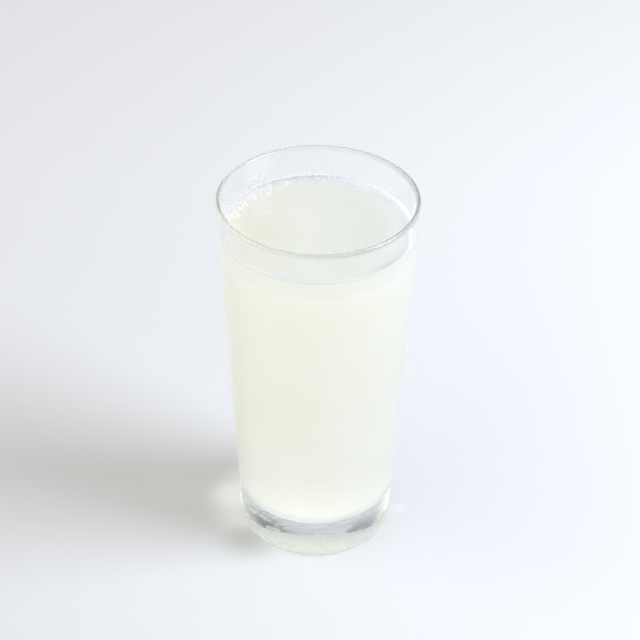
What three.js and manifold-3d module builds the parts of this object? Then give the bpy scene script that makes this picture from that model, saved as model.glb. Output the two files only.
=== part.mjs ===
// A tall tapered drinking glass filled almost to the brim with cloudy sugarcane juice.
// Millimetres, +Z up. The origin is the middle of the ring that the glass stands on.

import * as THREE from "three";
import { mergeVertices } from "three/addons/utils/BufferGeometryUtils.js";
import Module from "manifold-3d";

// The glass.
const HEIGHT = 150;
const RIM_RADIUS = 38; // outside, at the lip
const FOOT_RADIUS = 29.6; // outside, where the straight wall would meet the table
const LIP_THICKNESS = 1.9;
const WALL_THICKENING = 1.5; // how much more wall there is at the foot than at the lip
const HEEL_RADIUS = 3; // the rounded outer corner of the foot
const BEARING_INNER_RADIUS = 22.5; // the flat standing ring runs from here to the heel
const PUNT_DEPTH = 1.2; // the hollow under the foot
const FLOOR_HEIGHT = 14; // inside bottom, at the middle
const FLOOR_DISH = 1.6; // how far the inside bottom rises to its corner
const CORNER_RADIUS = 7; // the rounded corner between the inside bottom and the wall

// The juice.
const JUICE_LEVEL = 136.2; // the flat part of the surface
const MENISCUS_RISE = 1.5; // how far the juice climbs at the wall
const MENISCUS_REACH = 2.4; // the distance in which that climb dies down
const GAP = 0.3; // between the juice, its bubbles and the glass

// The bubbles, from the left round the back to the right of the surface.
const BUBBLE_SEED = 4711;
const BUBBLE_GROUPS = [
  // degrees from, degrees to, how many, smallest and largest radius, furthest from the wall
  { from: 112, to: 172, count: 7, small: 1.5, large: 2.1, spread: 0.2 },
  { from: 98, to: 186, count: 26, small: 0.6, large: 1.1, spread: 4.2 },
  { from: 22, to: 98, count: 20, small: 0.5, large: 0.9, spread: 2.2 },
];
const BUBBLE_SINK = 0.35; // the share of its radius that a bubble's middle lies under the surface
const BUBBLE_JITTER = 0.7; // how far a bubble strays from even spacing, as a share of the spacing
const LARGE_BUBBLE = 1.2; // from this radius on, a bubble is cut finer

// How finely the round forms are cut.
const SIDES = 72;
const WALL_STEPS = 6;
const ARC_STEPS = 5;
const LIP_STEPS = 6;
const DISH_STEPS = 4; // across the inside bottom, and across the hollow under the foot
const SURFACE_STEPS = [0, 0.5, 1.1, 2, 3.2, 5, 8]; // distances from the juice's edge
const MERGE_DISTANCE = 1e-4;

const outerRadius = (z) => FOOT_RADIUS + ((RIM_RADIUS - FOOT_RADIUS) * z) / HEIGHT;
const wallThickness = (z) => LIP_THICKNESS + WALL_THICKENING * (1 - z / HEIGHT) ** 2;
const innerRadius = (z) => outerRadius(z) - wallThickness(z);
const taper = Math.atan((RIM_RADIUS - FOOT_RADIUS) / HEIGHT);

// Points of an arc about (r, z), turning from one angle to another, both ends included.
function arc(r, z, radius, from, to, steps = ARC_STEPS) {
  return Array.from({ length: steps + 1 }, (_, i) => {
    const angle = from + ((to - from) * i) / steps;
    return new THREE.Vector2(r + radius * Math.cos(angle), z + radius * Math.sin(angle));
  });
}

// The inside of the glass, or a skin at a distance inside it, from the axis up to a height.
function insideProfile(inset, top) {
  const dishAngle = Math.atan((2 * FLOOR_DISH) / (innerRadius(FLOOR_HEIGHT) - CORNER_RADIUS));
  const cornerZ = FLOOR_HEIGHT + FLOOR_DISH + CORNER_RADIUS * Math.cos(dishAngle);
  const cornerR = innerRadius(cornerZ) - CORNER_RADIUS;
  const floorEnd = -Math.PI / 2 + dishAngle;
  const corner = arc(cornerR, cornerZ, CORNER_RADIUS - inset, floorEnd, -taper);
  const floor = Array.from({ length: DISH_STEPS }, (_, i) => {
    const share = i / DISH_STEPS;
    const middle = FLOOR_HEIGHT + inset;
    return new THREE.Vector2(corner[0].x * share, middle + (corner[0].y - middle) * share ** 2);
  });
  const wallStart = corner.at(-1).y;
  const wall = Array.from({ length: WALL_STEPS }, (_, i) => {
    const z = wallStart + ((top - wallStart) * (i + 1)) / WALL_STEPS;
    return new THREE.Vector2(innerRadius(z) - inset, z);
  });
  return [...floor, ...corner, ...wall];
}

// A solid turned about +Z from a profile that starts and ends on the axis.
function turned(profile) {
  const shape = new THREE.LatheGeometry(profile, SIDES);
  shape.rotateX(Math.PI / 2);
  return shape;
}

// The tumbler: heel, straight tapered wall, rounded lip, inside, thick foot and punt.
function glassProfile() {
  const heelR = outerRadius(HEEL_RADIUS) - HEEL_RADIUS;
  const heel = arc(heelR, HEEL_RADIUS, HEEL_RADIUS, -Math.PI / 2, -taper);
  const lipRadius = LIP_THICKNESS / 2;
  const lipZ = HEIGHT - lipRadius;
  const lip = arc(outerRadius(lipZ) - lipRadius, lipZ, lipRadius, -taper, Math.PI, LIP_STEPS);
  const wall = Array.from({ length: WALL_STEPS - 1 }, (_, i) => {
    const share = (i + 1) / WALL_STEPS;
    return heel.at(-1).clone().lerp(lip[0], share);
  });
  const punt = Array.from({ length: DISH_STEPS + 1 }, (_, i) => {
    const share = i / DISH_STEPS;
    return new THREE.Vector2(BEARING_INNER_RADIUS * share, PUNT_DEPTH * (1 - share ** 2));
  });
  const inside = insideProfile(0, lipZ).slice(0, -1).reverse();
  return [...punt, ...heel, ...wall, ...lip, ...inside];
}

// The juice: the glass's inside a gap smaller, with a surface that climbs at the wall.
function surfaceHeight(r) {
  const wall = innerRadius(JUICE_LEVEL) - GAP;
  return JUICE_LEVEL + MENISCUS_RISE * Math.exp(-(wall - r) / MENISCUS_REACH);
}

function juiceProfile() {
  const edge = innerRadius(JUICE_LEVEL) - GAP;
  const surface = SURFACE_STEPS.map((d) => new THREE.Vector2(edge - d, surfaceHeight(edge - d)));
  const body = insideProfile(GAP, surface[0].y).slice(0, -1);
  return [...body, ...surface, new THREE.Vector2(0, JUICE_LEVEL)];
}

// A small fixed sequence of numbers from 0 to 1, the same each time.
function sequence(seed) {
  let state = seed;
  return () => {
    state = (state * 16807) % 2147483647;
    return state / 2147483647;
  };
}

function bubbles() {
  const next = sequence(BUBBLE_SEED);
  const made = [];
  for (const group of BUBBLE_GROUPS) {
    for (let i = 0; i < group.count; i++) {
      const share = (i + 0.5 + BUBBLE_JITTER * (next() - 0.5)) / group.count;
      const angle = THREE.MathUtils.degToRad(group.from + (group.to - group.from) * share);
      const radius = group.small + (group.large - group.small) * next();
      const fromWall = group.spread * next() ** 2;
      const r = innerRadius(JUICE_LEVEL) - GAP - radius - fromWall;
      const z = surfaceHeight(r) - BUBBLE_SINK * radius;
      made.push({ at: new THREE.Vector3(r * Math.cos(angle), r * Math.sin(angle), z), radius });
    }
  }
  return made;
}

const wasm = await Module();
wasm.setup();

function solidOf(geometry) {
  const bare = geometry.clone();
  bare.deleteAttribute("normal");
  bare.deleteAttribute("uv");
  const merged = mergeVertices(bare, MERGE_DISTANCE);
  const vertProperties = merged.attributes.position.array;
  const triVerts = new Uint32Array(merged.index.array);
  return new wasm.Manifold(new wasm.Mesh({ numProp: 3, vertProperties, triVerts }));
}

function geometryOf(solid) {
  const mesh = solid.getMesh();
  const geometry = new THREE.BufferGeometry();
  geometry.setAttribute("position", new THREE.BufferAttribute(mesh.vertProperties, 3));
  geometry.setIndex(new THREE.BufferAttribute(mesh.triVerts, 1));
  geometry.computeVertexNormals();
  return geometry;
}

// The juice with its bubbles standing out of the surface as one solid.
function juiceWithBubbles() {
  let solid = solidOf(turned(juiceProfile()));
  for (const bubble of bubbles()) {
    const detail = bubble.radius < LARGE_BUBBLE ? 1 : 2;
    const ball = new THREE.OctahedronGeometry(bubble.radius, detail);
    ball.translate(bubble.at.x, bubble.at.y, bubble.at.z);
    solid = solid.add(solidOf(ball));
  }
  return geometryOf(solid);
}

function namedMesh(name, geometry, material) {
  const mesh = new THREE.Mesh(geometry, new THREE.MeshStandardMaterial(material));
  mesh.name = name;
  return mesh;
}

const drink = new THREE.Group();
drink.add(
  namedMesh("glass", turned(glassProfile()), {
    color: 0xe6efec,
    roughness: 0.03,
    metalness: 0,
    transparent: true,
    opacity: 0.35,
  }),
  namedMesh("juice", juiceWithBubbles(), { color: 0xeaecd8, roughness: 0.15, metalness: 0 }),
);

export default drink;
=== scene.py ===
"""A tall tapered glass of sugarcane juice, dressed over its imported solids."""

import math

import bmesh
import bpy
from bpy.props import FloatProperty, FloatVectorProperty, IntProperty, PointerProperty
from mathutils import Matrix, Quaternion, Vector


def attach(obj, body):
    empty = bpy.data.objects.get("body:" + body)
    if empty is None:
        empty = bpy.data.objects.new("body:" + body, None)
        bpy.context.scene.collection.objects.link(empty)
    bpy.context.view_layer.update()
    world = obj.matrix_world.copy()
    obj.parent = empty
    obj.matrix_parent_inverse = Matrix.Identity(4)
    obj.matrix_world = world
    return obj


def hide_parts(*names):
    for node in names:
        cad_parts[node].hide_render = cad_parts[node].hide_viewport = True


bl_info = {
    "name": "Glass of sugarcane juice",
    "version": (1, 0, 0),
    "blender": (4, 5, 0),
    "location": "3D View > Sidebar > Drink",
    "description": "Builds a tumbler of cloudy juice with bubbles, and the stage it stands on",
    "category": "Object",
}

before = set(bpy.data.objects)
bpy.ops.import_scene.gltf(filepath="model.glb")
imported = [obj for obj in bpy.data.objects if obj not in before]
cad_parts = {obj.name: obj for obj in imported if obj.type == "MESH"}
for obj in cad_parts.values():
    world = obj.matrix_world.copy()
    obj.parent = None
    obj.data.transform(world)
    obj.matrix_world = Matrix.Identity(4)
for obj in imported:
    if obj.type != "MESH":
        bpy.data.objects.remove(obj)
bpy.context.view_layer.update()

BODY = "root"
MM = 0.001
PICTURE = 640  # pixels along each side of the picture
SENSOR = 36.0  # millimetres
WATER = 1.35  # refractive index of the juice
SODA_GLASS = 1.5
LEVEL_SLOPE = 0.25  # a face is level where the upward part of its normal, squared, is above this
BOUNCES = 96  # how often light may bend or mirror on its way through glass, juice and films


class Wire:
    """An output socket. Arithmetic on it adds Math nodes."""

    def __init__(self, net, socket):
        self.net = net
        self.socket = socket

    def __add__(self, other):
        return self.net.math("ADD", self, other)

    def __radd__(self, other):
        return self.net.math("ADD", other, self)

    def __sub__(self, other):
        return self.net.math("SUBTRACT", self, other)

    def __rsub__(self, other):
        return self.net.math("SUBTRACT", other, self)

    def __mul__(self, other):
        return self.net.math("MULTIPLY", self, other)

    def __rmul__(self, other):
        return self.net.math("MULTIPLY", other, self)

    def __pow__(self, other):
        return self.net.math("POWER", self, other)


class Net:
    """A node tree that is being built."""

    def __init__(self, tree):
        self.tree = tree

    def add(self, kind, settings=None, sockets=None, output=0):
        """Adds a node: its settings first, then its sockets' values or links. Returns one output."""
        node = self.tree.nodes.new(kind)
        for name, value in (settings or {}).items():
            setattr(node, name, value)
        for name, value in (sockets or {}).items():
            if isinstance(value, Wire):
                self.tree.links.new(value.socket, node.inputs[name])
            else:
                node.inputs[name].default_value = value
        return Wire(self, node.outputs[output]) if len(node.outputs) else node

    def math(self, operation, a, b):
        return self.add("ShaderNodeMath", {"operation": operation}, {0: a, 1: b})

    def mix(self, share, a, b, blend="MIX"):
        """Mixes two colours."""
        settings = {"data_type": "RGBA", "blend_type": blend}
        return self.add("ShaderNodeMix", settings, {0: share, 6: a, 7: b}, output=2)

    def shade(self, share, colour, shade):
        """Multiplies a colour by a shade, to a share."""
        return self.mix(share, colour, self.mix(1.0, colour, shade, "MULTIPLY"))

    def along(self, vector, axis):
        """A vector's X, Y or Z."""
        return self.add("ShaderNodeSeparateXYZ", {}, {"Vector": vector}, output=axis)

    def rescale(self, value, low, high, new_low=0.0, new_high=1.0):
        """Turns the range from low to high into the new one, and stays at its ends beyond it."""
        sockets = {0: value, 1: low, 2: high, 3: new_low, 4: new_high}
        return self.add("ShaderNodeMapRange", {}, sockets)


def grey(value):
    return (value, value, value, 1.0)


def opaque(colour):
    return (*colour[:3], 1.0)


class TumblerSettings(bpy.types.PropertyGroup):
    """The tumbler's sizes, as in the solids, and its glass."""

    height: FloatProperty(
        name="Height",
        description="From the table to the top of the lip",
        default=150 * MM,
        unit="LENGTH",
    )
    rim_radius: FloatProperty(
        name="Rim radius", description="Outside radius at the lip", default=38 * MM, unit="LENGTH"
    )
    foot_radius: FloatProperty(
        name="Foot radius",
        description="Outside radius where the straight wall would meet the table",
        default=29.6 * MM,
        unit="LENGTH",
    )
    lip_thickness: FloatProperty(
        name="Lip thickness",
        description="Thickness of the wall at the lip",
        default=1.9 * MM,
        unit="LENGTH",
    )
    wall_thickening: FloatProperty(
        name="Wall thickening",
        description="How much more wall there is at the foot than at the lip",
        default=1.5 * MM,
        unit="LENGTH",
    )
    heel_radius: FloatProperty(
        name="Heel radius",
        description="The rounded outer corner of the foot",
        default=3 * MM,
        unit="LENGTH",
    )
    bearing_inner_radius: FloatProperty(
        name="Bearing ring radius",
        description="Inner radius of the flat ring that it stands on",
        default=22.5 * MM,
        unit="LENGTH",
    )
    punt_depth: FloatProperty(
        name="Punt depth", description="The hollow under the foot", default=1.2 * MM, unit="LENGTH"
    )
    floor_height: FloatProperty(
        name="Floor height",
        description="Inside bottom, at the middle",
        default=14.0 * MM,
        unit="LENGTH",
    )
    floor_dish: FloatProperty(
        name="Floor dish",
        description="How far the inside bottom rises to its corner",
        default=1.6 * MM,
        unit="LENGTH",
    )
    corner_radius: FloatProperty(
        name="Corner radius",
        description="The rounded corner between the inside bottom and the wall",
        default=7 * MM,
        unit="LENGTH",
    )
    tint: FloatVectorProperty(
        name="Tint",
        description="Colour of the glass",
        default=(0.99, 0.997, 0.993),
        subtype="COLOR",
    )
    # Partly the glass's own green at the thick lip, partly painted shade, strongest at the right and
    # the front.
    lip_tint_and_painted_shade: FloatVectorProperty(
        name="Lip tint",
        description="Colour of the thick lip",
        default=(0.6, 0.68, 0.7),
        subtype="COLOR",
    )
    refraction: FloatProperty(
        name="Refraction",
        description="Refractive index of the glass",
        default=SODA_GLASS,
    )
    segments: IntProperty(name="Segments", description="Steps once round the glass", default=512)


class JuiceSettings(bpy.types.PropertyGroup):
    """The juice's level, and its looks."""

    level: FloatProperty(
        name="Level",
        description="Height of the flat part of the surface",
        default=136.2 * MM,
        unit="LENGTH",
    )
    meniscus_rise: FloatProperty(
        name="Meniscus rise",
        description="How far the juice climbs at the wall",
        default=1.5 * MM,
        unit="LENGTH",
    )
    meniscus_reach: FloatProperty(
        name="Meniscus reach",
        description="The distance in which that climb dies down",
        default=2.4 * MM,
        unit="LENGTH",
    )
    overlap: FloatProperty(
        name="Overlap",
        description="How far the juice reaches into the wall, so that no gap shows",
        default=0.15 * MM,
        unit="LENGTH",
    )
    pale: FloatVectorProperty(
        name="Pale juice",
        description="Colour of most of the juice",
        default=(0.775, 0.777, 0.615),
        subtype="COLOR",
    )
    deep: FloatVectorProperty(
        name="Deep juice",
        description="Colour of the denser clouds in it",
        default=(0.745, 0.751, 0.55),
        subtype="COLOR",
    )
    cloudiness: FloatProperty(
        name="Light reach",
        description="How far light wanders in the cloudy juice",
        default=220 * MM,
        unit="LENGTH",
    )
    surface_pale: FloatVectorProperty(
        name="Pale surface",
        description="Colour of most of the surface",
        default=(0.765, 0.767, 0.705),
        subtype="COLOR",
    )
    surface_deep: FloatVectorProperty(
        name="Deep surface",
        description="Colour of the denser clouds at the surface",
        default=(0.745, 0.75, 0.67),
        subtype="COLOR",
    )
    surface_cloudiness: FloatProperty(
        name="Surface light reach",
        description="How far light wanders below the surface",
        default=40 * MM,
        unit="LENGTH",
    )


class BubbleSettings(bpy.types.PropertyGroup):
    """The bubbles along the edge of the surface."""

    seed: IntProperty(name="Seed", description="Start of the number sequence", default=4711)
    sink: FloatProperty(
        name="Sink",
        description="The share of its radius that a bubble's middle lies under the surface",
        default=0.35,
    )
    jitter: FloatProperty(
        name="Jitter",
        description="How far a bubble strays from even spacing, as a share of the spacing",
        default=0.7,
    )
    gap: FloatProperty(
        name="Gap",
        description="Distance between a bubble and the wall",
        default=0.3 * MM,
        unit="LENGTH",
    )


class FrothSettings(bpy.types.PropertyGroup):
    """The fine froth that clings to the wall above the juice."""

    seed: IntProperty(name="Seed", description="Start of the number sequence", default=2903)
    count: IntProperty(name="Count", description="How many tiny bubbles there are", default=640)
    smallest: FloatProperty(
        name="Smallest",
        description="Radius of the smallest bubble",
        default=0.12 * MM,
        unit="LENGTH",
    )
    largest: FloatProperty(
        name="Largest", description="Radius of the largest bubble", default=0.5 * MM, unit="LENGTH"
    )
    climb: FloatProperty(
        name="Climb",
        description="How far the froth climbs above the juice",
        default=5.5 * MM,
        unit="LENGTH",
    )


class StageSettings(bpy.types.PropertyGroup):
    """The floor, the lights and the camera."""

    floor_size: FloatProperty(
        name="Floor size", description="Side of the square floor", default=6.0, unit="LENGTH"
    )
    floor_colour: FloatVectorProperty(
        name="Floor colour",
        description="Colour of the floor",
        default=(0.79, 0.79, 0.79),
        subtype="COLOR",
    )
    sky: FloatProperty(
        name="Surrounding light",
        description="Strength of the light all round",
        default=0.5,
    )
    key_power: FloatProperty(
        name="Key power",
        description="Power of the large soft lamp",
        default=12.2,
        unit="POWER",
    )
    camera_place: FloatVectorProperty(
        name="Camera place",
        description="Where the camera stands",
        default=(0, -0.721, 0.614),
        subtype="XYZ",
    )
    camera_focal: FloatProperty(
        name="Focal length", description="Focal length in pixels of the picture", default=2327
    )
    camera_roll: FloatProperty(
        name="Roll",
        description="Turn about the line of sight",
        default=math.radians(0.62),
        subtype="ANGLE",
    )


# Profiles, each a list of (radius, height) from the axis to the axis.


def arc(centre, radius, start, stop, steps):
    """Points of an arc about a centre, both ends included."""
    angles = [start + (stop - start) * i / steps for i in range(steps + 1)]
    return [(centre[0] + radius * math.cos(a), centre[1] + radius * math.sin(a)) for a in angles]


def outer_radius(t, z):
    return t.foot_radius + (t.rim_radius - t.foot_radius) * z / t.height


def inner_radius(t, z):
    thickness = t.lip_thickness + t.wall_thickening * (1 - z / t.height) ** 2
    return outer_radius(t, z) - thickness


def taper(t):
    return math.atan((t.rim_radius - t.foot_radius) / t.height)


def inside_profile(t, inset, top, wall_steps=16, corner_steps=18, dish_steps=14):
    """The inside of the glass, or a skin at a distance inside it, from the axis up to a height."""
    dish_angle = math.atan(2 * t.floor_dish / (inner_radius(t, t.floor_height) - t.corner_radius))
    corner_z = t.floor_height + t.floor_dish + t.corner_radius * math.cos(dish_angle)
    corner_r = inner_radius(t, corner_z) - t.corner_radius
    start = dish_angle - math.pi / 2
    corner = arc((corner_r, corner_z), t.corner_radius - inset, start, -taper(t), corner_steps)
    middle = t.floor_height + inset
    end_r, end_z = corner[0]
    shares = [i / dish_steps for i in range(dish_steps)]
    dish = [(end_r * s, middle + (end_z - middle) * s**2) for s in shares]
    wall_start = corner[-1][1]
    heights = [wall_start + (top - wall_start) * (i + 1) / wall_steps for i in range(wall_steps)]
    return dish + corner + [(inner_radius(t, z) - inset, z) for z in heights]


def tumbler_profile(t, punt_steps=14, heel_steps=18, wall_steps=16, lip_steps=32):
    """Punt, bearing ring, heel, wall, lip and the whole inside."""
    shares = [i / punt_steps for i in range(punt_steps + 1)]
    punt = [(t.bearing_inner_radius * s, t.punt_depth * (1 - s**2)) for s in shares]
    heel_centre = (outer_radius(t, t.heel_radius) - t.heel_radius, t.heel_radius)
    heel = arc(heel_centre, t.heel_radius, -math.pi / 2, -taper(t), heel_steps)
    lip_radius = t.lip_thickness / 2
    lip_z = t.height - lip_radius
    lip = arc((outer_radius(t, lip_z) - lip_radius, lip_z), lip_radius, -taper(t), math.pi, lip_steps)
    wall = []
    for i in range(1, wall_steps):
        share = i / wall_steps
        wall.append(tuple(a + (b - a) * share for a, b in zip(heel[-1], lip[0])))
    inside = inside_profile(t, 0, lip_z)[:-1]
    return punt + heel + wall + lip + inside[::-1]


def surface_height(t, j, r):
    """The juice's surface at a radius: flat, climbing at the wall."""
    wall = inner_radius(t, j.level)
    return j.level + j.meniscus_rise * math.exp(-max(wall - r, 0) / j.meniscus_reach)


def juice_profile(t, j, edge_steps=24, edge_width=14 * MM, flat_steps=6):
    """The inside of the glass, a little larger, and the surface."""
    edge = inner_radius(t, j.level) + j.overlap
    inward = [edge_width * (i / edge_steps) ** 2 for i in range(edge_steps + 1)]
    surface = [(edge - d, surface_height(t, j, edge - d)) for d in inward]
    last_r, last_z = surface[-1]
    flat = [(last_r * (1 - i / flat_steps), last_z) for i in range(1, flat_steps + 1)]
    body = inside_profile(t, -j.overlap, surface[0][1])[:-1]
    return body + surface + flat


# Geometry Nodes.


def new_tree(name, inputs):
    """A Geometry Nodes tree with named inputs: geometry first, then (name, socket type, default)."""
    tree = bpy.data.node_groups.new(name, "GeometryNodeTree")
    tree.interface.new_socket("Geometry", in_out="INPUT", socket_type="NodeSocketGeometry")
    for label, kind, default in inputs:
        socket = tree.interface.new_socket(label, in_out="INPUT", socket_type=kind)
        if default is not None:
            socket.default_value = default
    tree.interface.new_socket("Geometry", in_out="OUTPUT", socket_type="NodeSocketGeometry")
    return tree


def group_inputs(net):
    """The tree's inputs by name."""
    node = net.tree.nodes.new("NodeGroupInput")
    return {s.name: Wire(net, s) for s in node.outputs if s.name}


def turned_tree():
    """A form turned about +Z from a profile of edges drawn in the XY plane.

    Level faces above a height have a material of their own.
    """
    inputs = [
        ("Segments", "NodeSocketInt", 128),
        ("Rail Radius", "NodeSocketFloat", 0.03),
        ("Merge Distance", "NodeSocketFloat", 1e-6),
        ("Material", "NodeSocketMaterial", None),
        ("Surface Material", "NodeSocketMaterial", None),
        ("Surface Height", "NodeSocketFloat", 1.0),
    ]
    net = Net(new_tree("turned", inputs))
    given = group_inputs(net)
    profile = net.add("GeometryNodeMeshToCurve", {}, {"Mesh": given["Geometry"]})
    circle = {"Resolution": given["Segments"], "Radius": given["Rail Radius"]}
    rail = net.add("GeometryNodeCurvePrimitiveCircle", {}, circle)
    skin = net.add("GeometryNodeCurveToMesh", {}, {"Curve": rail, "Profile Curve": profile})
    merging = {"Geometry": skin, "Distance": given["Merge Distance"]}
    closed = net.add("GeometryNodeMergeByDistance", {}, merging)
    smooth = net.add("GeometryNodeSetShadeSmooth", {}, {"Geometry": closed})
    real = net.add("GeometryNodeRealizeInstances", {}, {"Geometry": smooth})
    shown = net.add("GeometryNodeSetMaterial", {}, {"Geometry": real, "Material": given["Material"]})
    height = net.along(net.add("GeometryNodeInputPosition"), "Z")
    upward = net.along(net.add("GeometryNodeInputNormal"), "Z")
    level = net.math("GREATER_THAN", upward**2.0, LEVEL_SLOPE)
    chosen = level * net.math("GREATER_THAN", height, given["Surface Height"])
    sockets = {"Geometry": shown, "Selection": chosen, "Material": given["Surface Material"]}
    shown = net.add("GeometryNodeSetMaterial", {}, sockets)
    net.add("NodeGroupOutput", {}, {"Geometry": shown})
    return net.tree


def bubble_tree():
    """A ball on each point, of the size that the point's radius attribute gives."""
    inputs = [("Fineness", "NodeSocketInt", 4), ("Material", "NodeSocketMaterial", None)]
    net = Net(new_tree("bubbles on points", inputs))
    given = group_inputs(net)
    ball = net.add("GeometryNodeMeshIcoSphere", {}, {"Radius": 1.0, "Subdivisions": given["Fineness"]})
    size = net.add("GeometryNodeInputNamedAttribute", {"data_type": "FLOAT"}, {"Name": "radius"})
    sockets = {"Points": given["Geometry"], "Instance": ball, "Scale": size}
    placed = net.add("GeometryNodeInstanceOnPoints", {}, sockets)
    real = net.add("GeometryNodeRealizeInstances", {}, {"Geometry": placed})
    smooth = net.add("GeometryNodeSetShadeSmooth", {}, {"Geometry": real})
    shown = net.add("GeometryNodeSetMaterial", {}, {"Geometry": smooth, "Material": given["Material"]})
    net.add("NodeGroupOutput", {}, {"Geometry": shown})
    return net.tree


def grown(name, seed_mesh, tree, values):
    """Runs a tree on a mesh and keeps the result as one plain mesh object."""
    holder = bpy.data.objects.new(name, seed_mesh)
    bpy.context.scene.collection.objects.link(holder)
    modifier = holder.modifiers.new("Geometry", "NODES")
    modifier.node_group = tree
    for item in tree.interface.items_tree:
        if item.in_out == "INPUT" and item.name in values:
            modifier[item.identifier] = values[item.name]
    graph = bpy.context.evaluated_depsgraph_get()
    made = bpy.data.meshes.new_from_object(holder.evaluated_get(graph))
    holder.modifiers.clear()
    holder.data = made
    made.name = name
    for i in reversed(range(len(made.materials))):
        if made.materials[i] is None:
            made.materials.pop(index=i)
    return holder


def profile_mesh(points, rail_radius):
    """A profile as edges in the XY plane, measured from the rail that it is swept along."""
    mesh = bpy.data.meshes.new("profile")
    edges = [(i, i + 1) for i in range(len(points) - 1)]
    mesh.from_pydata([(r - rail_radius, -z, 0) for r, z in points], edges, [])
    return mesh


def outward(piece):
    """Turns a closed piece's faces outwards, and stops if it isn't closed."""
    shape = bmesh.new()
    shape.from_mesh(piece.data)
    open_edges = sum(1 for e in shape.edges if not e.is_manifold)
    if open_edges:
        raise RuntimeError(f"{piece.name} has {open_edges} open edges")
    if shape.calc_volume(signed=True) < 0:
        bmesh.ops.reverse_faces(shape, faces=shape.faces)
    shape.to_mesh(piece.data)
    shape.free()
    return piece


def as_piece(piece, slot, *nodes):
    """Hands a finished piece to the frame."""
    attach(piece, BODY)
    if nodes:
        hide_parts(*nodes)


# Materials.


def new_material(name):
    material = bpy.data.materials.new(name)
    material.use_nodes = True
    material.node_tree.nodes.clear()
    return material, Net(material.node_tree)


def by_height(net, height, lowest, *higher):
    """A shader that changes at heights, each given with the shader above it."""
    shown = lowest
    for border, shader in higher:
        above = net.math("GREATER_THAN", height, border)
        shown = net.add("ShaderNodeMixShader", {}, {0: above, 1: shown, 2: shader})
    return shown


def passing(net, light):
    """Lets a share of the light straight through."""
    return net.add("ShaderNodeBsdfTransparent", {}, {"Color": grey(light)})


def instead(net, shown, ray, other):
    """Shows another shader to one kind of ray."""
    asked = net.add("ShaderNodeLightPath", output=ray)
    return net.add("ShaderNodeMixShader", {}, {0: asked, 1: shown, 2: other})


def pressed_face(net, place, level):
    """The waviness of a pressing, up to the juice's level, and the mould's marks under the foot."""
    height = net.along(place, "Z")
    calm_above = level + 6 * MM
    marked_below = 1.5 * MM
    fully_marked_below = 0.9 * MM
    relief = 0.4 * MM
    faint, clear = 0.55, 0.7
    wave = net.add("ShaderNodeTexNoise", {}, {"Vector": place, "Scale": 55.0, "Detail": 1.0})
    wave = wave * net.rescale(height, calm_above, level)
    bump = net.add("ShaderNodeBump", {}, {"Strength": 0.04, "Distance": relief, "Height": wave})
    marks = net.add("ShaderNodeTexNoise", {}, {"Vector": place, "Scale": 420.0, "Detail": 2.0})
    sharp = net.rescale(marks, faint, clear) * net.rescale(height, marked_below, fully_marked_below)
    sockets = {"Strength": 0.35, "Distance": relief, "Height": sharp, "Normal": bump}
    return net.add("ShaderNodeBump", {}, sockets)


def glass_tint_and_painted_lip_shade(net, place, t):
    """The glass's tint, with the lip's tint and painted shade in the lip, weaker towards the back and
    the left.
    """
    begins = t.height - 1.2 * t.lip_thickness
    full = t.height - 0.6 * t.lip_thickness
    back, front = 40 * MM, 8 * MM
    left, right = -32 * MM, 32 * MM
    share_at_back, share_at_left = 0.35, 0.1
    # Painted shade in the lip, full at the right and the front, weaker towards the back and the left.
    lip = net.rescale(net.along(place, "Z"), begins, full)
    lip = lip * net.rescale(net.along(place, "Y"), back, front, share_at_back, 1.0)
    lip = lip * net.rescale(net.along(place, "X"), left, right, share_at_left, 1.0)
    return net.mix(lip, opaque(t.tint), opaque(t.lip_tint_and_painted_shade))


GLASS_DEPTH_COLOUR = (0.6, 0.66, 0.65, 1.0)
GLASS_DEPTH_DENSITY = 5.0


def clear_glass(t, j):
    """Polished soda-lime glass, faintly green where it is deep.

    Diffuse and shadow rays pass straight through it, with a share of their light, so that light
    reaches what is behind it. In the foot, diffuse rays bend as all others do.
    """
    material, net = new_material("clear glass")
    place = net.add("ShaderNodeTexCoord", output="Object")
    height = net.along(place, "Z")
    sockets = {
        "Base Color": glass_tint_and_painted_lip_shade(net, place, t),
        "Transmission Weight": 1.0,
        "IOR": t.refraction,
        "Roughness": 0.0,
        "Normal": pressed_face(net, place, j.level),
    }
    shown = net.add("ShaderNodeBsdfPrincipled", {}, sockets)

    foot_top = t.floor_height + t.floor_dish + t.corner_radius / 2
    above_foot, above_juice = passing(net, 0.87), passing(net, 0.93)
    diffuse = by_height(net, height, shown, (foot_top, above_foot), (j.level, above_juice))
    in_foot, above_foot, above_juice = passing(net, 0.7), passing(net, 0.67), passing(net, 0.9)
    shadow = by_height(net, height, in_foot, (foot_top, above_foot), (j.level, above_juice))
    shown = instead(net, shown, "Is Diffuse Ray", diffuse)
    shown = instead(net, shown, "Is Shadow Ray", shadow)
    sockets = {"Color": GLASS_DEPTH_COLOUR, "Density": GLASS_DEPTH_DENSITY}
    depth = net.add("ShaderNodeVolumeAbsorption", {}, sockets)
    net.add("ShaderNodeOutputMaterial", {}, {"Surface": shown, "Volume": depth})
    return material


# Painted shade that the juice's colour against the glass is multiplied by: at the right, at its foot
# and under its surface.
PAINTED_RIGHT_SHADE = (0.92, 0.905, 0.99, 1.0)
PAINTED_FOOT_SHADE = (0.78, 0.78, 0.81, 1.0)
PAINTED_TOP_SHADE = (0.83, 0.83, 0.86, 1.0)

# Painted shade that its surface's colour is multiplied by: at the left, at the right, and where it
# climbs the wall at the right.
PAINTED_SURFACE_LEFT_SHADE = (0.96, 0.95, 0.87, 1.0)
PAINTED_SURFACE_RIGHT_SHADE = (0.91, 0.92, 0.935, 1.0)
PAINTED_RIGHT_EDGE_SHADE = (0.62, 0.63, 0.64, 1.0)

# Painted shade: a thin dark line where the surface meets the glass at the front.
PAINTED_CONTACT_LINE_SHADE = (0.55, 0.56, 0.5, 1.0)
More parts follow.
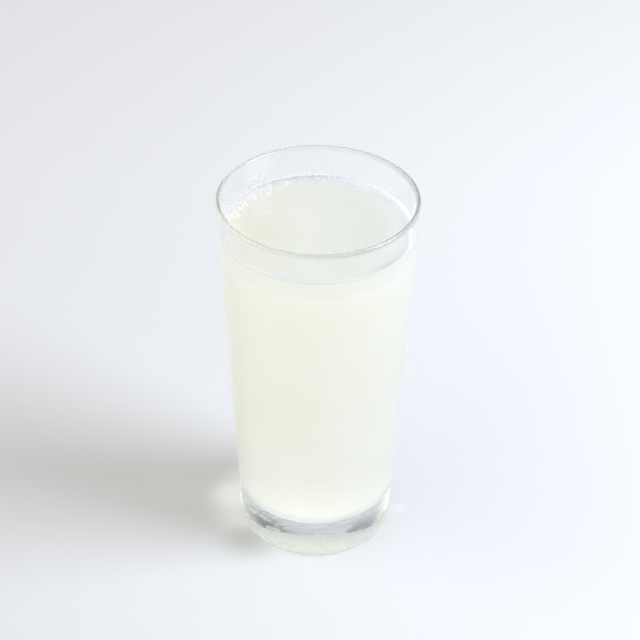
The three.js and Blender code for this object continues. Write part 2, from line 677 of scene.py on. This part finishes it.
# Painted light at the back edge of the surface, where it lies in shade and fine froth gathers.
FROTH_AND_PAINTED_LIGHT_COLOUR = (0.88, 0.88, 0.86, 1.0)


def clouded(net, pale, deep, painted_left_shade, painted_right_shade):
    """Slow clouds of denser juice in the pale juice, and painted shade towards the left and the right.
    """
    place = net.add("ShaderNodeTexCoord", output="Object")
    grain = {"Vector": place, "Scale": 28.0, "Detail": 4.0, "Roughness": 0.5}
    clouds = net.add("ShaderNodeTexNoise", {}, grain)
    thin, dense = 0.35, 0.7
    juice = net.mix(net.rescale(clouds, thin, dense), opaque(pale), opaque(deep))
    across = net.along(place, "X")
    # Painted shade: the colour is multiplied by one shade towards the left and another towards the
    # right.
    middle, left, right = -5 * MM, -28 * MM, 32 * MM
    shade = net.mix(net.rescale(across, middle, left), grey(1.0), painted_left_shade)
    shade = net.mix(net.rescale(across, middle, right), shade, painted_right_shade)
    return net.mix(1.0, juice, shade, "MULTIPLY")


def wandering(net, colour, reach, gloss):
    """A cloudy liquid that light wanders through for a distance."""
    sockets = {
        "Base Color": colour,
        "Subsurface Weight": 1.0,
        "Subsurface Radius": (1.0, 1.0, 0.9),
        "Subsurface Scale": reach,
        "Subsurface Anisotropy": 0.0,
        "IOR": WATER,
        "Specular IOR Level": gloss,
        "Roughness": 0.12,
    }
    return net.add("ShaderNodeBsdfPrincipled", {"subsurface_method": "RANDOM_WALK"}, sockets)


def juice_in_glass(t, j):
    """The juice against the glass, with painted shade at its right, its foot and its top.

    A thin painted dark line runs round the front, where its surface meets the glass. It mirrors what
    skims along the wall, but not at its foot.
    """
    material, net = new_material("cloudy juice")
    place = net.add("ShaderNodeTexCoord", output="Object")
    height = net.along(place, "Z")
    colour = clouded(net, j.pale, j.deep, grey(1.0), PAINTED_RIGHT_SHADE)

    floor = t.floor_height + t.floor_dish
    corner = t.corner_radius
    # Painted shade, darker towards the foot.
    painted_foot_share = net.rescale(height, floor + 0.9 * corner, floor + 0.3 * corner)
    painted_foot_share = painted_foot_share * net.rescale(height, floor, floor + 0.15 * corner, 0.3, 1.0)
    colour = net.shade(painted_foot_share, colour, PAINTED_FOOT_SHADE)

    # Painted shade, darker just under the surface.
    top_shade_depth = 8 * MM
    painted_top_share = net.rescale(height, j.level - top_shade_depth, j.level)
    colour = net.shade(painted_top_share, colour, PAINTED_TOP_SHADE)

    # A painted dark line round the front, where the surface meets the glass.
    line_low, line_high = j.level - 0.3 * MM, j.level + 0.4 * MM
    side, front = -12 * MM, -33 * MM
    line = net.rescale(height, line_low, line_high) * net.rescale(net.along(place, "Y"), side, front)
    colour = net.mix(line, colour, PAINTED_CONTACT_LINE_SHADE)

    shown = wandering(net, colour, j.cloudiness, 0.0)
    mirror = net.add("ShaderNodeBsdfAnisotropic", {}, {"Color": grey(1.0), "Roughness": 0.0})
    skimming = net.add("ShaderNodeFresnel", {}, {"IOR": WATER / SODA_GLASS})
    skimming = skimming * net.rescale(height, floor + 0.35 * corner, floor + corner)
    shown = net.add("ShaderNodeMixShader", {}, {0: skimming, 1: shown, 2: mirror})
    net.add("ShaderNodeOutputMaterial", {}, {"Surface": shown})
    return material


def juice_surface(j):
    """The juice's open surface.

    Painted light pales it where it climbs the wall at the back, where fine froth also gathers, and
    painted shade darkens it where it climbs the wall at the right and tints it at the left and right.
    """
    material, net = new_material("juice surface")
    place = net.add("ShaderNodeTexCoord", output="Object")
    height = net.along(place, "Z")
    across = net.along(place, "X")
    # Painted shade towards the left and the right.
    painted_shades = PAINTED_SURFACE_LEFT_SHADE, PAINTED_SURFACE_RIGHT_SHADE
    colour = clouded(net, j.surface_pale, j.surface_deep, *painted_shades)

    # Painted light where the surface climbs the wall at the back, where fine froth also gathers.
    climb_low, climb_high = j.level + 0.2 * MM, j.level + 1.2 * MM
    middle, back = 5 * MM, 25 * MM
    froth_ends, froth_begins = 22 * MM, 8 * MM
    froth = net.rescale(height, climb_low, climb_high)
    froth = froth * net.rescale(net.along(place, "Y"), middle, back)
    froth = froth * net.rescale(across, froth_ends, froth_begins)
    colour = net.mix(froth, colour, FROTH_AND_PAINTED_LIGHT_COLOUR)

    # Painted shade where the surface climbs the wall at the right.
    edge_low, edge_high = j.level + 0.1 * MM, j.level + 0.9 * MM
    shade_begins, shade_full = 10 * MM, 24 * MM
    edge = net.rescale(height, edge_low, edge_high)
    edge = edge * net.rescale(across, shade_begins, shade_full)
    colour = net.shade(edge, colour, PAINTED_RIGHT_EDGE_SHADE)

    shown = wandering(net, colour, j.surface_cloudiness, 0.5)
    net.add("ShaderNodeOutputMaterial", {}, {"Surface": shown})
    return material


def bubble_film(name, gloss, roughness, paleness):
    """A thin wet film: clear in the middle, white at its edge."""
    material, net = new_material(name)
    edge = net.add("ShaderNodeLayerWeight", {}, {"Blend": 0.5}, output="Facing")
    sockets = {
        "Base Color": grey(paleness),
        "Roughness": roughness,
        "IOR": WATER,
        "Specular IOR Level": gloss,
    }
    film = net.add("ShaderNodeBsdfPrincipled", {}, sockets)
    through = passing(net, 1.0)
    share_in_middle, share_at_edge = 0.1, 0.75
    share = net.rescale(edge**2.0, 0.0, 1.0, share_in_middle, share_at_edge)
    shown = net.add("ShaderNodeMixShader", {}, {0: share, 1: through, 2: film})
    for ray in ("Is Diffuse Ray", "Is Shadow Ray"):
        shown = instead(net, shown, ray, through)
    net.add("ShaderNodeOutputMaterial", {}, {"Surface": shown})
    return material


# Painted light, glowing on the floor where the glass throws light: middle, full within, gone beyond,
# and how much light.
FLOOR_GLOWS = (
    ((0, 0, 0), 16 * MM, 27 * MM, 1.4),
    ((-35 * MM, 9 * MM, 0), 1 * MM, 12 * MM, 0.11),
    ((34 * MM, 1.5 * MM, 0), 0.5 * MM, 5 * MM, 0.05),
)

# Painted light and shadow on the floor round the foot, paler where the glass gathers light and darker
# in the foot's shadow: middle, full within, gone beyond, and the tone.
PAINTED_FLOOR_TONES = (
    ((-12 * MM, 6 * MM, 0), 20 * MM, 36 * MM, 0.98),
    ((-27 * MM, -21 * MM, 0), 2 * MM, 15 * MM, 0.68),
)


def nearness(net, place, middle, full, end):
    """One within a distance of a point, and nothing beyond another."""
    sockets = {0: place, 1: middle}
    away = net.add("ShaderNodeVectorMath", {"operation": "DISTANCE"}, sockets, output="Value")
    sockets = {0: away, 1: full, 2: end, 3: 1.0, 4: 0.0}
    return net.add("ShaderNodeMapRange", {"interpolation_type": "SMOOTHSTEP"}, sockets)


def floor_paper(s):
    """A plain pale floor with painted shade, and painted light round the foot, where the glass gathers
    light.
    """
    material, net = new_material("floor")
    place = net.add("ShaderNodeTexCoord", output="Object")
    mottle = net.add("ShaderNodeTexNoise", {}, {"Vector": place, "Scale": 2.0, "Detail": 2.0})
    # Painted shade and light: a little darker towards the front, lighter towards the back, with a faint
    # random mottle.
    dimmer, brighter, mottling = 0.97, 1.045, 0.2
    painted_near_colour = opaque([c * dimmer for c in s.floor_colour])
    painted_far_colour = opaque([c * brighter for c in s.floor_colour])
    near, far = -150 * MM, 250 * MM
    away = net.rescale(net.along(place, "Y"), near, far)
    colour = net.mix(away + (mottle - 0.5) * mottling, painted_near_colour, painted_far_colour)
    for middle, full, end, tone in PAINTED_FLOOR_TONES:
        colour = net.mix(nearness(net, place, middle, full, end), colour, grey(tone))
    glow = grey(0.0)
    for middle, full, end, light in FLOOR_GLOWS:
        glow = net.mix(nearness(net, place, middle, full, end), glow, grey(light))
    sockets = {"Base Color": colour, "Roughness": 0.7, "Specular IOR Level": 0.2}
    sockets.update({"Emission Color": glow, "Emission Strength": 1.0})
    shown = net.add("ShaderNodeBsdfPrincipled", {}, sockets)
    net.add("ShaderNodeOutputMaterial", {}, {"Surface": shown})
    return material


# The stage.


EVEN_SKY = (1.02, 1.0, 0.955)  # colour of the light that comes from all round

# Where the light all round is brighter or dimmer: direction, cosine where the change begins, and how
# much is added at its middle, as a share of the even light.
SKY_LOBES = (
    ((0.0, 0.0, 1.0), 0.3, (-0.55, -0.55, -0.55)),
    ((-0.95, -0.3, 0.1), 0.4, (2.9, 2.9, 2.85)),
    ((0.95, -0.2, 0.1), 0.5, (-0.5, -0.5, -0.5)),
    ((0.1, -0.95, 0.25), 0.3, (0.8, 0.8, 0.8)),
    ((0.85, 0.55, 0.1), 0.6, (0.9, 0.95, 1.0)),
    ((-0.85, 0.55, 0.1), 0.6, (0.9, 0.95, 1.0)),
    ((0.0, 0.95, 0.2), 0.5, (0.5, 0.5, 0.55)),
    ((-0.05, 0.79, 0.61), 0.93, (0.2, 0.25, 0.35)),
    ((0.485, 0.621, 0.616), 0.95, (-0.72, -0.67, -0.62)),
    ((-0.492, 0.629, 0.602), 0.95, (-0.46, -0.41, -0.31)),
)

# The large soft lamp: width and height, place, and colour.
KEY_LAMP = ((0.71, 0.52), (0.868, -0.2, 0.722), (0.8, 0.86, 1.0))

# The point that the camera is aimed by, halfway up the glass, and the pixel where it shows.
AIM = (0, 0, 75 * MM)
AIM_PIXEL = (316.6, 361.2)


def set_sky(s):
    """Light all round: brighter low down, dimmer overhead and in two places behind."""
    world = bpy.data.worlds.new("studio")
    world.use_nodes = True
    world.node_tree.nodes.clear()
    net = Net(world.node_tree)
    direction = net.add("ShaderNodeTexCoord", output="Object")
    colour = EVEN_SKY
    for middle, start, change in SKY_LOBES:
        sockets = {0: direction, 1: Vector(middle).normalized()}
        towards = net.add("ShaderNodeVectorMath", {"operation": "DOT_PRODUCT"}, sockets, output="Value")
        sockets = {0: towards, 1: start, 2: 1.0, 3: 0.0, 4: 1.0}
        lobe = net.add("ShaderNodeMapRange", {"interpolation_type": "SMOOTHSTEP"}, sockets)
        sockets = {0: lobe, 1: change, 2: colour}
        colour = net.add("ShaderNodeVectorMath", {"operation": "MULTIPLY_ADD"}, sockets)
    sky = net.add("ShaderNodeBackground", {}, {"Color": colour, "Strength": s.sky})
    net.add("ShaderNodeOutputWorld", {}, {"Surface": sky})
    bpy.context.scene.world = world


def add_key_lamp(s):
    """The large soft lamp, aimed at the foot of the glass."""
    size, place, colour = KEY_LAMP
    lamp = bpy.data.lights.new("key lamp", "AREA")
    lamp.shape = "ELLIPSE"
    lamp.size, lamp.size_y = size
    lamp.energy = s.key_power
    lamp.color = colour
    holder = bpy.data.objects.new("key lamp", lamp)
    holder.location = place
    holder.rotation_mode = "QUATERNION"
    holder.rotation_quaternion = (-Vector(place)).to_track_quat("-Z", "Y")
    bpy.context.scene.collection.objects.link(holder)


def set_camera(s):
    """Stands the camera in its place and turns it so that its aim shows at its pixel."""
    lens = bpy.data.cameras.new("camera")
    lens.sensor_width = SENSOR
    lens.lens = s.camera_focal * SENSOR / PICTURE
    lens.clip_start = 10 * MM
    camera = bpy.data.objects.new("camera", lens)
    camera.location = s.camera_place
    half = PICTURE / 2
    seen = Vector((AIM_PIXEL[0] - half, half - AIM_PIXEL[1], -s.camera_focal))
    straight = (Vector(AIM) - Vector(s.camera_place)).to_track_quat("-Z", "Y")
    roll = Quaternion((0, 0, 1), s.camera_roll)
    camera.rotation_mode = "QUATERNION"
    camera.rotation_quaternion = straight @ roll @ seen.rotation_difference(Vector((0, 0, -1)))
    bpy.context.scene.collection.objects.link(camera)
    bpy.context.scene.camera = camera


class DRINK_OT_stage(bpy.types.Operator):
    """Lay the floor, hang the lights and stand the camera"""

    bl_idname = "drink.stage"
    bl_label = "Stage"

    def execute(self, context):
        s = context.scene.drink_stage
        half = s.floor_size / 2
        depth = -0.1 * MM
        corners = [(x * half, y * half, depth) for x, y in ((-1, -1), (1, -1), (1, 1), (-1, 1))]
        mesh = bpy.data.meshes.new("floor")
        mesh.from_pydata(corners, [], [(0, 1, 2, 3)])
        mesh.materials.append(floor_paper(s))
        floor = bpy.data.objects.new("floor", mesh)
        context.scene.collection.objects.link(floor)
        set_sky(s)
        add_key_lamp(s)
        set_camera(s)
        context.scene.view_settings.view_transform = "Standard"
        cycles = context.scene.cycles
        cycles.use_denoising = True
        cycles.max_bounces = BOUNCES
        cycles.transmission_bounces = BOUNCES
        cycles.glossy_bounces = BOUNCES
        cycles.transparent_max_bounces = BOUNCES
        return {"FINISHED"}


class DRINK_OT_tumbler(bpy.types.Operator):
    """Make the tapered glass tumbler"""

    bl_idname = "drink.tumbler"
    bl_label = "Tumbler"

    def execute(self, context):
        t = context.scene.drink_tumbler
        j = context.scene.drink_juice
        rail = t.foot_radius
        values = {
            "Segments": t.segments,
            "Rail Radius": rail,
            "Material": clear_glass(t, j),
        }
        mesh = profile_mesh(tumbler_profile(t), rail)
        piece = grown("tumbler", mesh, turned_tree(), values)
        as_piece(outward(piece), "glass", "glass")
        return {"FINISHED"}


class DRINK_OT_juice(bpy.types.Operator):
    """Fill the tumbler with cloudy juice"""

    bl_idname = "drink.juice"
    bl_label = "Juice"

    def execute(self, context):
        t = context.scene.drink_tumbler
        j = context.scene.drink_juice
        rail = t.foot_radius
        values = {
            "Segments": t.segments,
            "Rail Radius": rail,
            "Material": juice_in_glass(t, j),
            "Surface Material": juice_surface(j),
            "Surface Height": j.level - 1 * MM,
        }
        mesh = profile_mesh(juice_profile(t, j), rail)
        piece = grown("juice_body", mesh, turned_tree(), values)
        as_piece(outward(piece), "juice", "juice")
        return {"FINISHED"}


FACTOR = 16807  # the sequence's factor and modulus, as in the solids
MODULUS = 2147483647


def sequence(seed):
    """A small fixed sequence of numbers from 0 to 1, the same each time."""
    state = seed
    while True:
        state = (state * FACTOR) % MODULUS
        yield state / MODULUS


# How often a ball's faces are divided.
BUBBLE_FINENESS = 4
FROTH_FINENESS = 2

# Degrees from, degrees to, how many, smallest and largest radius, furthest from the wall.
BUBBLE_GROUPS = (
    (112, 172, 7, 1.5 * MM, 2.1 * MM, 0.2 * MM),
    (98, 186, 26, 0.6 * MM, 1.1 * MM, 4.2 * MM),
    (22, 98, 20, 0.5 * MM, 0.9 * MM, 2.2 * MM),
)


def bubble_places(t, j, b):
    """Each bubble's middle and radius, as in the solids."""
    numbers = sequence(b.seed)
    edge = inner_radius(t, j.level) - b.gap
    for start, stop, count, small, large, spread in BUBBLE_GROUPS:
        for i in range(count):
            share = (i + 0.5 + b.jitter * (next(numbers) - 0.5)) / count
            angle = math.radians(start + (stop - start) * share)
            radius = small + (large - small) * next(numbers)
            r = edge - radius - spread * next(numbers) ** 2
            height = j.level + j.meniscus_rise * math.exp(-(edge - r) / j.meniscus_reach)
            yield (r * math.cos(angle), r * math.sin(angle), height - b.sink * radius), radius


class DRINK_OT_bubbles(bpy.types.Operator):
    """Float the bubbles along the edge of the surface"""

    bl_idname = "drink.bubbles"
    bl_label = "Bubbles"

    def execute(self, context):
        scene = context.scene
        places = list(bubble_places(scene.drink_tumbler, scene.drink_juice, scene.drink_bubbles))
        film = bubble_film("bubble film", gloss=0.5, roughness=0.05, paleness=0.97)
        as_bubbles("bubbles", places, BUBBLE_FINENESS, film)
        return {"FINISHED"}


# Degrees from, degrees to, the share of the froth, and how much of the climb it uses.
FROTH_ARCS = (
    (118, 176, 0.36, 1.0),
    (92, 124, 0.25, 0.4),
    (28, 96, 0.3, 0.25),
)

# Short rafts of froth on the surface: one end, the other end, how many bubbles, and half the width.
FROTH_RAFTS = (
    ((-22 * MM, 9 * MM), (-16.5 * MM, 12.5 * MM), 46, 0.45 * MM),
    ((-26 * MM, 12 * MM), (-24 * MM, 15 * MM), 22, 0.5 * MM),
)
RAFT_SHARE = 0.4  # how large the rafts' bubbles get, as a share of the froth's range
AFLOAT = 0.3  # how far their middles lie above the surface, as a share of the radius

# The froth on the wall.
SWELLS = 9  # how often its height swells once round
LOWEST_SWELL = 0.35
PRESSED = 0.9  # how far its bubbles' middles lie from the wall, as a share of the radius


def raft_places(j, f, numbers):
    """The tiny bubbles of the rafts, afloat on the level surface."""
    for start, stop, count, half in FROTH_RAFTS:
        for _ in range(count):
            share = next(numbers)
            x = start[0] + (stop[0] - start[0]) * share + half * (next(numbers) - next(numbers))
            y = start[1] + (stop[1] - start[1]) * share + half * (next(numbers) - next(numbers))
            radius = f.smallest + (f.largest - f.smallest) * RAFT_SHARE * next(numbers)
            yield (x, y, j.level + AFLOAT * radius), radius


def froth_places(t, j, f):
    """Each tiny bubble's middle and radius: against the wall, fewer and smaller higher up."""
    numbers = sequence(f.seed)
    yield from raft_places(j, f, numbers)
    foot = j.level + j.meniscus_rise
    for start, stop, share, reach in FROTH_ARCS:
        for _ in range(round(f.count * share)):
            angle = math.radians(start + (stop - start) * next(numbers))
            up = next(numbers) ** 2
            swell = (math.sin(SWELLS * angle) + 1) / 2
            height = foot + f.climb * reach * up * (LOWEST_SWELL + (1 - LOWEST_SWELL) * swell)
            radius = f.smallest + (f.largest - f.smallest) * next(numbers) ** 2 * (1 - up / 2)
            r = inner_radius(t, height) - PRESSED * radius
            yield (r * math.cos(angle), r * math.sin(angle), height), radius


def as_bubbles(name, places, fineness, material):
    """One piece of balls at the places given."""
    mesh = bpy.data.meshes.new("places")
    mesh.from_pydata([place for place, _ in places], [], [])
    mesh.attributes.new("radius", "FLOAT", "POINT").data.foreach_set("value", [r for _, r in places])
    piece = grown(name, mesh, bubble_tree(), {"Fineness": fineness, "Material": material})
    as_piece(outward(piece), "juice")


class DRINK_OT_froth(bpy.types.Operator):
    """Leave fine froth on the wall above the juice"""

    bl_idname = "drink.froth"
    bl_label = "Froth"

    def execute(self, context):
        scene = context.scene
        places = list(froth_places(scene.drink_tumbler, scene.drink_juice, scene.drink_froth))
        film = bubble_film("froth film", gloss=0.1, roughness=0.3, paleness=0.93)
        as_bubbles("froth", places, FROTH_FINENESS, film)
        return {"FINISHED"}


class DRINK_PT_pieces(bpy.types.Panel):
    """The drink's pieces"""

    bl_label = "Glass of juice"
    bl_idname = "DRINK_PT_pieces"
    bl_space_type = "VIEW_3D"
    bl_region_type = "UI"
    bl_category = "Drink"

    def draw(self, context):
        for step in STEPS:
            self.layout.operator(step.bl_idname)


SETTINGS = (
    ("drink_tumbler", TumblerSettings),
    ("drink_juice", JuiceSettings),
    ("drink_bubbles", BubbleSettings),
    ("drink_froth", FrothSettings),
    ("drink_stage", StageSettings),
)
STEPS = (DRINK_OT_stage, DRINK_OT_tumbler, DRINK_OT_juice, DRINK_OT_bubbles, DRINK_OT_froth)


def register():
    for name, group in SETTINGS:
        bpy.utils.register_class(group)
        setattr(bpy.types.Scene, name, PointerProperty(type=group))
    for step in (*STEPS, DRINK_PT_pieces):
        bpy.utils.register_class(step)


def unregister():
    for step in reversed((*STEPS, DRINK_PT_pieces)):
        bpy.utils.unregister_class(step)
    for name, group in reversed(SETTINGS):
        delattr(bpy.types.Scene, name)
        bpy.utils.unregister_class(group)


def main():
    register()
    for step in STEPS:
        group, name = step.bl_idname.split(".")
        getattr(getattr(bpy.ops, group), name)()


if __name__ == "__main__":
    main()
